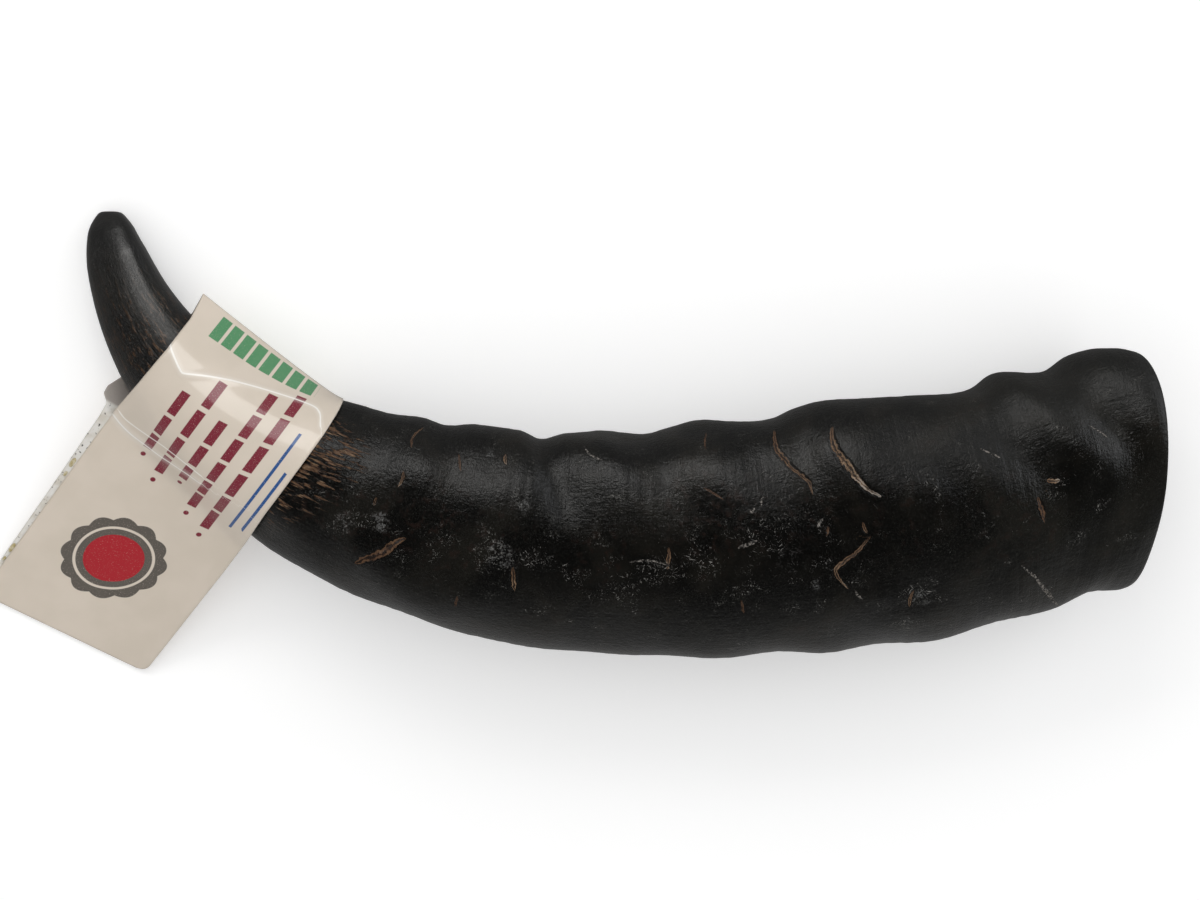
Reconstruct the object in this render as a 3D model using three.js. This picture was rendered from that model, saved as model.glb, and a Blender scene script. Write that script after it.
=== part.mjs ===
// A water-buffalo horn lying on its flatter side, with a folded adhesive label stuck round its neck.
// Millimetres, +Z up.  The horn curves in the XY plane: the tip is at -X, the sawn, hollow base at +X and
// the inside of the bend faces +Y.  The origin is under the middle of the object, on the surface it lies on.

import * as THREE from 'three';
import { mergeVertices } from 'three/addons/utils/BufferGeometryUtils.js';

// ---- Driving dimensions ---------------------------------------------------------------------------------

// Drawing point that becomes the part's origin: the middle of everything in X and Y, and its lowest point.
const ORIGIN = new THREE.Vector3(-13.55, 3.05, -0.42);

// The horn's axis from tip to base, [x, y, half width]; the half width is taken across the bend.
const HORN_STATIONS = [
  [-142.3, 70.8, 4.2],
  [-141.3, 62.9, 6.8],
  [-139.3, 55.4, 8.8],
  [-133.3, 41.0, 11.2],
  [-125.2, 28.0, 13.6],
  [-115.0, 16.5, 16.2],
  [-104.0, 6.5, 18.6],
  [-85.0, -5.4, 22.3],
  [-64.5, -14.1, 25.6],
  [-43.3, -20.4, 28.0],
  [-21.6, -24.3, 29.6],
  [0.0, -25.7, 30.6],
  [28.0, -25.5, 32.4],
  [58.2, -22.3, 34.0],
  [88.2, -18.3, 34.4],
  [117.6, -12.5, 33.0],
  [134.0, -7.4, 32.5],
  [147.6, -5.4, 33.0],
];
const DEPTH_RATIO_AT_TIP = 0.92;     // height of a section over its width
const DEPTH_RATIO_AT_BASE = 0.76;
const TIP_ROUNDING = 8.1;            // length over which the tip closes
const NECK_LIFT = 3.0;               // how far the neck arches clear of the surface
const NECK_LIFT_SPAN = 200;          // from the tip to where the underside is down again
const SECTION_SQUARENESS = 2.15;     // 2 would be an ellipse

// Growth rings: [distance from the tip, height], full on the inside of the bend and fading round the horn.
const RINGS = [
  [100, 0], [116, -0.7], [128, 0.3], [137, -1.0], [146, 0.3], [160, 0.5], [168, -1.9], [176, 0],
  [186, 0.8], [193, -0.4], [200, -1.3], [208, 0.1], [217, 0.9], [228, -0.7], [239, -1.6], [246, 0],
  [255, 1.0], [268, 0.2], [280, -1.0], [296, -1.4], [304, 1.1], [315, -2.2], [322, 1.2], [328, 2.2], [336, 0.6],
];
const RING_SLANT = 0.45;             // rings slope towards the base as they leave the inside of the bend
const RING_FADE = 1.4;

// The sawn base is a plane that faces a little down and across.
const BASE_PLANE_TILT = THREE.MathUtils.degToRad(13);
const BASE_PLANE_TURN = THREE.MathUtils.degToRad(-2);
const BASE_TRIM_SPAN = 60;           // length over which sections turn into that plane

const RIM_ROUNDING = 7;              // length over which the rim's outer edge is eased, and by how much
const RIM_EASE = 2.0;

const BASE_WALL = 5.5;               // wall at the rim, measured across the bend
const CAVITY_DEPTH = 190;

// The label, in its own frame: P runs across its width and Q along it, from the fold to the free end.
const LABEL_P = new THREE.Vector3(0.8, -0.6, 0);
const LABEL_Q = new THREE.Vector3(-0.6, -0.8, 0);
const LABEL_LEFT = -119.4;           // P of the edge nearer the tip
const LABEL_RIGHT = -67.4;
const LABEL_LEAN = 0.13;             // higher parts sit this much nearer the base, per millimetre of height
const LABEL_THICKNESS = 0.4;         // one layer, paper and lamination
const LABEL_CLEARANCE = 0.5;         // between the label and the horn
const GLUE_LINE = 0.1;               // between the two halves of the flag
const FOLD = { left: [31.7, 15], right: [32.5, 21] };          // [Q, height] at each edge
const MEETING = { left: [75.9, 14.5], right: [82.6, 24] };     // where the two halves meet
const FREE_END = { left: [141.7, 0.3], right: [131.3, 0.3] };
const FLAG_SAG = 1.2;

// Faceting.
const AROUND = 40;
const TIP_STEPS = 6;
const OUTSIDE_STEPS = 56;
const RIM_STEPS = 4;
const CAVITY_STEPS = 20;
const LABEL_LOOP_STEPS = 14;
const LABEL_FLAG_STEPS = 7;
const LABEL_WIDTH_STEPS = 8;
const OUTLINE_SAMPLES = 60;

// ---- The horn's surface ---------------------------------------------------------------------------------

const axis = new THREE.CatmullRomCurve3(HORN_STATIONS.map(([x, y]) => new THREE.Vector3(x, y, 0)));
const girth = new THREE.SplineCurve(HORN_STATIONS.map(([, , halfWidth], i) => new THREE.Vector2(i, halfWidth)));
const rings = new THREE.SplineCurve(RINGS.map(([distance, height]) => new THREE.Vector2(distance, height)));
const AXIS_LENGTH = axis.getLength();

function ringHeight(distance) {
  const last = RINGS.length - 1;
  if (distance <= RINGS[0][0]) return RINGS[0][1];
  if (distance >= RINGS[last][0]) return RINGS[last][1];
  const i = RINGS.findIndex(([start]) => start > distance) - 1;
  const share = (distance - RINGS[i][0]) / (RINGS[i + 1][0] - RINGS[i][0]);
  return rings.getPoint((i + share) / last).y;
}

// Everything about the section at one distance from the tip.
function sectionAt(distance) {
  const share = Math.min(distance / AXIS_LENGTH, 1);
  const t = Math.min(axis.getUtoTmapping(share), 1);
  const width = girth.getPoint(t).y;
  const ratio = THREE.MathUtils.lerp(DEPTH_RATIO_AT_TIP, DEPTH_RATIO_AT_BASE, share);
  const rounding = distance < TIP_ROUNDING ? Math.sqrt(1 - (1 - distance / TIP_ROUNDING) ** 2) : 1;
  const arch = distance < NECK_LIFT_SPAN ? NECK_LIFT * Math.sin(Math.PI * distance / NECK_LIFT_SPAN) ** 2 : 0;
  const centre = axis.getPoint(t).setZ(width * ratio + arch);
  const along = axis.getTangent(t);
  const inward = new THREE.Vector3(-along.y, along.x, 0);
  const rimShare = Math.max(0, 1 - (1 - share) * AXIS_LENGTH / RIM_ROUNDING);
  const eased = RIM_EASE * (1 - Math.sqrt(1 - rimShare ** 2));
  const halfWidth = width * rounding - eased;
  const halfDepth = width * ratio * rounding - eased;
  return { centre, along, inward, halfWidth, halfDepth };
}

const superellipse = (value) => Math.sign(value) * Math.abs(value) ** (2 / SECTION_SQUARENESS);

const basePlaneNormal = new THREE.Vector3(
  Math.cos(BASE_PLANE_TILT) * Math.cos(BASE_PLANE_TURN),
  Math.cos(BASE_PLANE_TILT) * Math.sin(BASE_PLANE_TURN),
  -Math.sin(BASE_PLANE_TILT),
);

// A point of the horn: angle 0 is the inside of the bend and a quarter turn is the top.  The fraction is 1 on
// the outside and less in the cavity.
function hornPoint(distance, angle, fraction = 1) {
  const { centre, along, inward, halfWidth, halfDepth } = sectionAt(distance);
  const across = superellipse(Math.cos(angle));
  const up = superellipse(Math.sin(angle));
  const facing = (1 + Math.cos(angle)) / 2;
  const slanted = distance - RING_SLANT * halfWidth * (1 - across);
  const relief = fraction === 1 ? ringHeight(slanted) * facing ** RING_FADE : 0;
  const offset = inward.clone().multiplyScalar(across * (halfWidth * fraction + relief));
  offset.z += up * (halfDepth * fraction + relief);
  const trim = THREE.MathUtils.smoothstep(distance, AXIS_LENGTH - BASE_TRIM_SPAN, AXIS_LENGTH);
  const shift = -basePlaneNormal.dot(offset) / basePlaneNormal.dot(along) * trim;
  return centre.add(offset).addScaledVector(along, shift);
}

// ---- Making solids --------------------------------------------------------------------------------------

// Merges shared corners and drops the triangles that have closed up, such as those at a pole.
function closedSolid(geometry) {
  geometry.deleteAttribute('normal');
  geometry.deleteAttribute('uv');
  const merged = mergeVertices(geometry, 1e-4);
  const corners = merged.index.array;
  const kept = [];
  for (let i = 0; i < corners.length; i += 3) {
    const [a, b, c] = corners.slice(i, i + 3);
    if (a !== b && b !== c && c !== a) kept.push(a, b, c);
  }
  merged.setIndex(kept);
  merged.computeVertexNormals();
  return merged;
}

// Moves every vertex of a geometry to where the given function sends it.
function reshape(geometry, place) {
  const positions = geometry.attributes.position;
  const vertex = new THREE.Vector3();
  for (let i = 0; i < positions.count; i += 1) {
    const placed = place(vertex.fromBufferAttribute(positions, i));
    positions.setXYZ(i, placed.x, placed.y, placed.z);
  }
  return geometry;
}

// ---- Horn -----------------------------------------------------------------------------------------------

// A straight horn of radius 1 is turned in one profile, outside, rim and cavity, and then bent to shape.
function makeHorn() {
  const profile = [new THREE.Vector2(0, 0)];
  for (let i = 1; i <= TIP_STEPS; i += 1) {
    const quarter = Math.PI / 2 * i / TIP_STEPS;
    profile.push(new THREE.Vector2(1, TIP_ROUNDING * (1 - Math.cos(quarter))));
  }
  const rimStart = AXIS_LENGTH - RIM_ROUNDING;
  for (let i = 1; i <= OUTSIDE_STEPS; i += 1) {
    profile.push(new THREE.Vector2(1, THREE.MathUtils.lerp(TIP_ROUNDING, rimStart, i / OUTSIDE_STEPS)));
  }
  for (let i = 1; i <= RIM_STEPS; i += 1) {
    profile.push(new THREE.Vector2(1, rimStart + RIM_ROUNDING * Math.sin(Math.PI / 2 * i / RIM_STEPS)));
  }
  for (let i = CAVITY_STEPS; i >= 0; i -= 1) {
    const share = (i / CAVITY_STEPS) ** 1.5;
    const distance = AXIS_LENGTH - CAVITY_DEPTH * (1 - share);
    const thinnest = 1 - BASE_WALL / sectionAt(distance).halfWidth;
    profile.push(new THREE.Vector2(thinnest * Math.sqrt(1 - (1 - share) ** 2), distance));
  }
  const straight = new THREE.LatheGeometry(profile, AROUND);
  return closedSolid(reshape(straight, ({ x, y, z }) => {
    const fraction = Math.hypot(x, z);
    return hornPoint(y, Math.atan2(x, z), fraction > 0.999 ? 1 : fraction);
  }));
}

// ---- Label ----------------------------------------------------------------------------------------------

// The upper (side 1) or lower (side -1) half of the convex outline of some points, from low x to high x.
function hullChain(points, side) {
  const chain = [];
  for (const point of [...points].sort((a, b) => a.x - b.x)) {
    while (chain.length > 1) {
      const [before, last] = chain.slice(-2);
      const turn = (last.x - before.x) * (point.y - before.y) - (last.y - before.y) * (point.x - before.x);
      if (turn * side < 0) break;
      chain.pop();
    }
    chain.push(point);
  }
  return chain;
}

// The same chain, cut into equal steps.
function evenSteps(chain, steps) {
  const path = new THREE.CurvePath();
  chain.slice(1).forEach((point, i) => path.add(new THREE.LineCurve(chain[i], point)));
  return Array.from({ length: steps + 1 }, (_, i) => path.getPointAt(i / steps));
}

// The horn's outline, as [Q, height], where the label's leaning plane at this P cuts it.
function hornOutline(p) {
  return Array.from({ length: OUTLINE_SAMPLES }, (_, i) => {
    const angle = i / OUTLINE_SAMPLES * 2 * Math.PI;
    let low = 0;
    let high = AXIS_LENGTH / 2;
    for (let round = 0; round < 24; round += 1) {
      const middle = (low + high) / 2;
      const point = hornPoint(middle, angle);
      if (point.dot(LABEL_P) - LABEL_LEAN * point.z < p) low = middle;
      else high = middle;
    }
    const point = hornPoint(low, angle);
    return new THREE.Vector2(point.dot(LABEL_Q), point.z);
  });
}

// An outline moved outwards all round by a distance.
function grown(outline, distance) {
  const middle = outline.reduce((sum, point) => sum.add(point), new THREE.Vector2());
  middle.divideScalar(outline.length);
  return outline.map((point) => {
    const outward = point.clone().sub(middle).normalize();
    return point.clone().addScaledVector(outward, distance);
  });
}

function between({ left, right }, share) {
  const { lerp } = THREE.MathUtils;
  return new THREE.Vector2(lerp(left[0], right[0], share), lerp(left[1], right[1], share));
}

// One half of the label in one section: points from the fold round the horn to the free end, for the
// surface that lies this far out from the sheet's inner face.  Side 1 is the upper half, -1 the lower.
function halfSection(outline, fold, meeting, end, side, depth) {
  const out = side * (GLUE_LINE / 2 + depth);
  const foldTip = new THREE.Vector2(fold.x - depth, fold.y);
  const meetingTip = new THREE.Vector2(meeting.x, meeting.y + out);
  const round = hullChain([...grown(outline, LABEL_CLEARANCE + depth), foldTip, meetingTip], side);
  const flag = Array.from({ length: LABEL_FLAG_STEPS }, (_, i) => {
    const way = (i + 1) / LABEL_FLAG_STEPS;
    const point = meeting.clone().lerp(end, way);
    return point.setY(point.y - FLAG_SAG * Math.sin(Math.PI * way) + out);
  });
  return [...evenSteps(round, LABEL_LOOP_STEPS), ...flag];
}

function labelSection(share) {
  const p = THREE.MathUtils.lerp(LABEL_LEFT, LABEL_RIGHT, share);
  const [fold, meeting, end] = [FOLD, MEETING, FREE_END].map((place) => between(place, share));
  const outline = hornOutline(p);
  const half = (side, depth) => halfSection(outline, fold, meeting, end, side, depth);
  return {
    p,
    upper: { inner: half(1, 0), outer: half(1, LABEL_THICKNESS) },
    lower: { inner: half(-1, 0), outer: half(-1, LABEL_THICKNESS) },
  };
}

// The whole label is one flat slab, folded at its middle.  In the flat slab x counts steps from the fold, to
// either side, y is its thickness and z its width.
function makeLabel() {
  const steps = LABEL_LOOP_STEPS + LABEL_FLAG_STEPS;
  const slab = new THREE.BoxGeometry(2 * steps, 1, 1, 2 * steps, 1, LABEL_WIDTH_STEPS);
  const sections = Array.from({ length: LABEL_WIDTH_STEPS + 1 }, (_, i) => labelSection(i / LABEL_WIDTH_STEPS));
  return closedSolid(reshape(slab, ({ x, y, z }) => {
    const section = sections[Math.round((0.5 - z) * LABEL_WIDTH_STEPS)];
    const half = x < 0 ? section.lower : section.upper;
    const point = (y > 0 ? half.outer : half.inner)[Math.round(Math.abs(x))];
    const place = new THREE.Vector3(0, 0, point.y);
    place.addScaledVector(LABEL_P, section.p + LABEL_LEAN * point.y);
    return place.addScaledVector(LABEL_Q, point.x);
  }));
}

// ---- The part -------------------------------------------------------------------------------------------

const keratin = new THREE.MeshStandardMaterial({ color: 0x1c1a19, roughness: 0.45, metalness: 0 });
const laminate = new THREE.MeshStandardMaterial({ color: 0xcdc3b6, roughness: 0.2, metalness: 0 });

function namedMesh(name, geometry, material) {
  const mesh = new THREE.Mesh(geometry, material);
  mesh.name = name;
  return mesh;
}

const buffaloHorn = new THREE.Group();
buffaloHorn.add(namedMesh('horn', makeHorn(), keratin));
buffaloHorn.add(namedMesh('label', makeLabel(), laminate));
buffaloHorn.position.copy(ORIGIN).negate();

export default buffaloHorn;
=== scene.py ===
# %% [markdown]
# # A buffalo horn with a folded label
# The horn is one sheath of black keratin: a solid curved tip, a hollow base, and rings where growth slowed.
# A printed, laminated label is folded over its neck and stuck to itself as a flag.  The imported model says
# which space each piece fills, so it is loaded first, and every mesh is made in its frame: the tip at -X, the
# sawn base at +X, the inside of the bend towards +Y and the surface at Z = 0.

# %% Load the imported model
import math
from functools import reduce

import bmesh
import bpy
import numpy as np
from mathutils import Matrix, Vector


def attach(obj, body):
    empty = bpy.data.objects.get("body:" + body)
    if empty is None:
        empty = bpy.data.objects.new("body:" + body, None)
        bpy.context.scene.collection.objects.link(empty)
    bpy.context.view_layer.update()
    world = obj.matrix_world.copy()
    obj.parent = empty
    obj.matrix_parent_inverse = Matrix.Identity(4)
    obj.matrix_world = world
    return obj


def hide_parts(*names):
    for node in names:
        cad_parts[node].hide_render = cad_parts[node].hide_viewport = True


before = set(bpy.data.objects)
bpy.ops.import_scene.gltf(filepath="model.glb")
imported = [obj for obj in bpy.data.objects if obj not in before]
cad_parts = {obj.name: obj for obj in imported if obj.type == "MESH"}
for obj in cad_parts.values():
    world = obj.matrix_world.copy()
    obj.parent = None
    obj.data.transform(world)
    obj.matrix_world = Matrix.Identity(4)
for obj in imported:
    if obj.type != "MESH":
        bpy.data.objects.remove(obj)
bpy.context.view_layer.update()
MM = 0.001
print("nodes:", sorted(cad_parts))

# %% [markdown]
# ## Camera
# The horn lies on a pale surface and is looked at from straight above.  The camera hangs over the middle of
# the view with its top towards +Y, and a longish lens keeps the horn's sides from spreading.

# %% Hang the camera over the horn
VIEW_MIDDLE = (13.55, -3.05)
VIEW_HEIGHT = 646.4
LENS = 66.43

camera = bpy.data.objects.new("camera", bpy.data.cameras.new("camera"))
camera.data.lens = LENS
camera.data.sensor_fit = "HORIZONTAL"
camera.data.sensor_width = 36.0
camera.data.clip_start = 0.05
camera.location = (VIEW_MIDDLE[0] * MM, VIEW_MIDDLE[1] * MM, VIEW_HEIGHT * MM)
bpy.context.scene.collection.objects.link(camera)
bpy.context.scene.camera = camera
print("camera looks down from", tuple(camera.location))

# %% [markdown]
# ## A smooth curve through measured stations
# The horn's axis, girth and rings are each given at a few stations, and a Catmull-Rom curve joins them.  A
# Blender curve object could do the same, but this curve is only looked up, so plain samples are easier.

# %% Catmull-Rom samples
SAMPLES_PER_SPAN = 60


def smooth_through(points, knot_power, samples=SAMPLES_PER_SPAN):
    """Samples of a curve through points; the knot power is 0.5 for a path and 0 for a graph."""
    points = np.asarray(points, float)
    padded = [2 * points[0] - points[1], *points, 2 * points[-1] - points[-2]]
    way = np.linspace(0, 1, samples, endpoint=False)[:, None]
    spans = []
    for before, start, end, after in zip(padded, padded[1:], padded[2:], padded[3:]):
        gap_in, gap, gap_out = (
            np.linalg.norm(b - a) ** knot_power for a, b in ((before, start), (start, end), (end, after))
        )
        leave = ((start - before) / gap_in - (end - before) / (gap_in + gap) + (end - start) / gap) * gap
        arrive = ((end - start) / gap - (after - start) / (gap + gap_out) + (after - end) / gap_out) * gap
        bend = 3 * (end - start) - 2 * leave - arrive
        twist = 2 * (start - end) + leave + arrive
        spans.append(start + way * (leave + way * (bend + way * twist)))
    return np.vstack([*spans, points[-1:]])


def smooth_step(value, low, high):
    share = np.clip((value - low) / (high - low), 0, 1)
    return share * share * (3 - 2 * share)


# %% [markdown]
# ## The horn's form
# These are the dimensions that the construction model was drawn from, in millimetres.  The drawing's zero
# lies to one side of the part's origin, so finished points are moved by ORIGIN.  Angle 0 is the inside of
# the bend, a quarter turn is the top, and the distance runs along the axis from the tip to the base.

# %% Driving dimensions of the horn
ORIGIN = np.array([-13.55, 3.05, -0.42])
HORN_STATIONS = np.array([  # x, y, half width
    [-142.3, 70.8, 4.2], [-141.3, 62.9, 6.8], [-139.3, 55.4, 8.8], [-133.3, 41, 11.2], [-125.2, 28, 13.6],
    [-115, 16.5, 16.2], [-104, 6.5, 18.6], [-85, -5.4, 22.3], [-64.5, -14.1, 25.6], [-43.3, -20.4, 28],
    [-21.6, -24.3, 29.6], [0, -25.7, 30.6], [28, -25.5, 32.4], [58.2, -22.3, 34], [88.2, -18.3, 34.4],
    [117.6, -12.5, 33], [134, -7.4, 32.5], [147.6, -5.4, 33],
])
RINGS = np.array([  # distance from the tip, height
    [100, 0], [116, -0.7], [128, 0.3], [137, -1.0], [146, 0.3], [160, 0.5], [168, -1.9], [176, 0],
    [186, 0.8], [193, -0.4], [200, -1.3], [208, 0.1], [217, 0.9], [228, -0.7], [239, -1.6], [246, 0],
    [255, 1.0], [268, 0.2], [280, -1.0], [296, -1.4], [304, 1.1], [315, -2.2], [322, 1.2], [328, 2.2],
    [336, 0.6],
])
DEPTH_RATIO_AT_TIP = 0.92
DEPTH_RATIO_AT_BASE = 0.76
TIP_ROUNDING = 8.1
NECK_LIFT = 3.0
NECK_LIFT_SPAN = 200
SECTION_SQUARENESS = 2.15
RING_SLANT = 0.45
RING_FADE = 1.4
TIP_CUT = 68.3              # beyond this Y the tip is rubbed nearly flat
TIP_CUT_ROUNDING = 0.8
BASE_PLANE_TILT = math.radians(13)
BASE_PLANE_TURN = math.radians(-2)
BASE_TRIM_SPAN = 60
RIM_ROUNDING = 7
RIM_EASE = 2
BASE_WALL = 5.5
CAVITY_DEPTH = 190

axis_line = smooth_through(HORN_STATIONS[:, :2], 0.5)
girth_line = smooth_through(HORN_STATIONS[:, 2:], 0)[:, 0]
ring_line = smooth_through(RINGS, 0)
axis_steps = np.linalg.norm(np.diff(axis_line, axis=0), axis=1)
distance_line = np.concatenate([[0], np.cumsum(axis_steps)])
heading_line = np.gradient(axis_line, distance_line, axis=0)
AXIS_LENGTH = distance_line[-1]
print(f"the horn is {AXIS_LENGTH:.0f} mm long along its axis")

# %% [markdown]
# ## One function for every point of the horn
# Outside, rim and hollow all follow from a distance, an angle and a fraction of the section.  The function
# takes whole arrays, so the same few lines place every vertex at once.

# %% Place points on the horn
base_normal = np.array([
    math.cos(BASE_PLANE_TILT) * math.cos(BASE_PLANE_TURN),
    math.cos(BASE_PLANE_TILT) * math.sin(BASE_PLANE_TURN),
    -math.sin(BASE_PLANE_TILT),
])


def along_axis(distance, line):
    return np.interp(distance, distance_line, line)


def section_size(distance):
    """Half width and half depth of the section, before rings."""
    share = distance / AXIS_LENGTH
    width = along_axis(distance, girth_line)
    ratio = DEPTH_RATIO_AT_TIP + (DEPTH_RATIO_AT_BASE - DEPTH_RATIO_AT_TIP) * share
    rounding = np.sqrt(1 - np.clip(1 - distance / TIP_ROUNDING, 0, 1) ** 2)
    rim_share = np.clip(1 - (AXIS_LENGTH - distance) / RIM_ROUNDING, 0, 1)
    eased = RIM_EASE * (1 - np.sqrt(1 - rim_share**2))
    return width * rounding - eased, width * ratio * rounding - eased, width * ratio


def superellipse(value):
    return np.sign(value) * np.abs(value) ** (2 / SECTION_SQUARENESS)


def horn_points(distance, angle, fraction=1.0, outside=1.0, extra=0.0):
    """Points of the horn, in drawing millimetres; outside is 1 where rings and extra relief count."""
    half_width, half_depth, middle_height = section_size(distance)
    across = superellipse(np.cos(angle))
    up = superellipse(np.sin(angle))
    facing = (1 + np.cos(angle)) / 2
    slanted = distance - RING_SLANT * half_width * (1 - across)
    ring = np.interp(slanted, ring_line[:, 0], ring_line[:, 1]) * facing**RING_FADE
    relief = (ring + extra) * outside
    side = across * (half_width * fraction + relief)
    lift = up * (half_depth * fraction + relief)
    heading_x, heading_y = (along_axis(distance, heading_line[:, i]) for i in range(2))
    centre_x, centre_y = (along_axis(distance, axis_line[:, i]) for i in range(2))
    offset = np.stack([-heading_y * side, heading_x * side, lift], -1)
    heading = np.stack([heading_x, heading_y, 0 * heading_x], -1)
    trim = smooth_step(distance, AXIS_LENGTH - BASE_TRIM_SPAN, AXIS_LENGTH)
    shift = -(offset @ base_normal) / (heading @ base_normal) * trim
    arch = NECK_LIFT * np.sin(np.pi * np.clip(distance / NECK_LIFT_SPAN, 0, 1)) ** 2
    centre = np.stack([centre_x, centre_y, middle_height + arch], -1)
    points = centre + offset + heading * shift[..., None]
    beyond = np.maximum(points[..., 1] - TIP_CUT, 0)
    points[..., 1] += TIP_CUT_ROUNDING * (1 - np.exp(-beyond / TIP_CUT_ROUNDING)) - beyond
    return points


# %% [markdown]
# ## Grown unevenness
# No section of a real horn is a clean oval.  Sine waves of seeded phases give long swells, because they
# close up round the horn with no seam.  Dents and bulges as big as a thumb are placed one by one.

# %% Swells and dents
SWELLS_GROW = (30, 120)      # distances between which the swells reach their full height
POLE = (0, 5)                # distances between which all relief fades in, so that the tip closes
DENTS = [  # distance, angle, long reach, short reach in mm, slant from the axis in degrees, height
    (32, 46, 28, 5.5, 0, 1.1), (32, 122, 28, 6, 0, -0.8), (11, 50, 13, 4, 0, 0.8), (11, 112, 13, 5, 0, -0.5),
    (294, 80, 11, 3.6, 64, 0.6), (304, 76, 11, 3.4, 62, -0.8), (316, 80, 11, 3.4, 48, 0.75),
    (325, 72, 11, 3.2, 52, -0.85), (321, 52, 6, 3, 70, 0.35), (283, 72, 9, 4, 60, -0.4),
    (272, 124, 8, 6, 0, -0.55), (262, 122, 6, 4, 0, 0.4), (177, 58, 9, 5, 90, -0.5),
    (200, 90, 12, 6, 90, -0.25), (247, 84, 8, 6, 90, -0.35), (226, 100, 9, 8, 90, 0.3),
    (150, 100, 10, 8, 90, -0.3),
    (300, 210, 12, 8, 90, -0.8), (250, 250, 13, 9, 90, -0.5),
]
chance = np.random.default_rng(7)


def waves(count, around, along, smallest, height):
    """Sine waves: how many times round the horn, how steeply along it, how high, and the phase."""
    return [
        (
            chance.integers(*around),
            chance.uniform(*along),
            height * chance.uniform(smallest, 1),
            chance.uniform(0, 2 * np.pi),
        )
        for _ in range(count)
    ]


swells = waves(46, (1, 8), (-0.28, 0.28), 0.3, 0.105)
ripples = waves(16, (0, 5), (0.7, 1.9), 0.4, 0.012)


def turn_between(angle, other):
    """The angle between two directions, from -pi to pi."""
    return (angle - other + np.pi) % (2 * np.pi) - np.pi


def unevenness(distance, angle):
    height = np.zeros(np.broadcast(distance, angle).shape)
    for around, along, size, phase in swells + ripples:
        height += size * np.sin(around * angle + along * distance + phase)
    height *= smooth_step(distance, *SWELLS_GROW)
    for place, turned, reach, reach_across, slant, size in DENTS:
        along = distance - place
        around = turn_between(angle, math.radians(turned)) * section_size(float(place))[0]
        lean = math.radians(slant)
        lengthwise = (along * math.cos(lean) + around * math.sin(lean)) / reach
        crosswise = (around * math.cos(lean) - along * math.sin(lean)) / reach_across
        height += size * np.exp(-(lengthwise**2 + crosswise**2))
    return height * smooth_step(distance, *POLE)


print(len(swells), "swells,", len(ripples), "ripples and", len(DENTS), "dents")


# %% [markdown]
# ## Cracks and lifted flakes
# Keratin splits in short curved cracks.  One side of each lifts as a thin lip and shows tan, unpolished
# horn.  Each crack is a smooth path of a few points, given as a distance and an angle in degrees.  A scratch
# is a crack that is rubbed pale and hardly cut in; two strokes near the base, drawn the same way, are painted
# highlights.  The far side gets a few cracks of its own.

# %% The cracks
CRACKS = [  # path, half width, height of the lip, paleness
    ([[125, 128], [128, 119], [132, 110], [134, 104], [136, 101]], 0.85, 0.5, 0.3),
    ([[165, 103], [165.5, 110], [166, 116]], 0.5, 0.2, 0.85),
    ([[130, 66], [130.5, 71], [130, 76]], 0.35, 0.1, 1.0),
    ([[130, 50], [129, 40], [131, 26]], 0.28, 0.1, 0.5),
    ([[158, 42], [158, 46], [159, 50]], 0.38, 0.1, 1.2), ([[125, 85], [125, 90]], 0.35, 0.1, 1.0),
    ([[206, 90], [206, 94], [205.5, 100]], 0.45, 0.2, 0.8),
    ([[239, 29], [238.2, 38], [238.6, 46], [241, 56], [243.5, 62], [245.5, 67], [246, 73]], 0.6, 0.5, 0.65),
    ([[254, 39], [253.5, 48], [254.5, 56], [256.5, 63], [258.5, 70], [261, 75], [264, 79]], 0.76, 0.6, 1.25),
    ([[260, 93], [256, 99], [252, 103], [249.5, 106], [250, 110], [252.5, 116]], 0.42, -0.45, 0.9),
    ([[303.5, 90], [304, 94], [304.5, 101]], 0.5, 0.25, 0.3),
    ([[306.5, 84.5], [309.5, 86.5]], 0.55, 0.15, 1.2),
    ([[269.5, 122], [268.5, 126], [268, 131]], 0.4, 0.2, 0.8), ([[249, 88], [248.5, 91]], 0.3, 0.1, 0.6),
    ([[258, 88], [259, 92]], 0.35, 0.1, 0.8), ([[219, 24], [218, 34], [218, 42]], 0.22, 0.1, 0.1),
    ([[216, 63], [218.5, 66], [222, 71]], 0.22, 0.1, 0.1), ([[224, 116], [224.5, 124]], 0.25, 0.1, 0.2),
    ([[144, 45], [146, 58]], 0.25, 0.1, 0.2), ([[152, 125], [152, 134]], 0.25, 0.1, 0.2),
    ([[120, 190], [123, 204], [128, 216]], 0.6, 0.4, 0.4),
    ([[210, 200], [207, 212], [209, 226], [214, 236]], 0.7, -0.5, 0.4),
    ([[276, 330], [272, 318], [273, 306]], 0.7, 0.5, 0.5),
    ([[178, 300], [180, 312], [177, 324]], 0.6, 0.4, 0.3),
    ([[306, 232], [309, 243], [307, 256]], 0.6, -0.4, 0.5),
]
SCRATCHES = [  # path, half width
    ([[298, 119], [301, 127], [304, 136], [308, 152], [312, 166]], 0.42),
    ([[195, 97], [198, 96], [202, 96], [206, 98]], 0.2), ([[224, 92], [227, 91], [230, 90]], 0.32),
    ([[254, 116], [256, 123]], 0.3), ([[246, 88], [248, 84]], 0.3),
    ([[228, 76], [229, 78], [230, 76]], 0.25), ([[233, 71], [232, 73], [232, 76]], 0.25),
    # The strokes from 318 and 292 mm are painted highlights: pale streaks where the rings near the base catch
    # the light.
    ([[182, 32], [184, 40], [188, 46]], 0.3), ([[318, 66], [322, 74]], 0.26),
    ([[292, 62], [297, 70]], 0.24),
]
SCRATCH_LIP = 0.01
SCRATCH_PALENESS = 6
SPLITS = CRACKS + [(path, half, SCRATCH_LIP, SCRATCH_PALENESS) for path, half in SCRATCHES]
CRACK_REACH = 7.0        # how far from a crack its lip still counts
PAINT_REACH = 2.8        # how far from a crack its colour can reach
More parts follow.
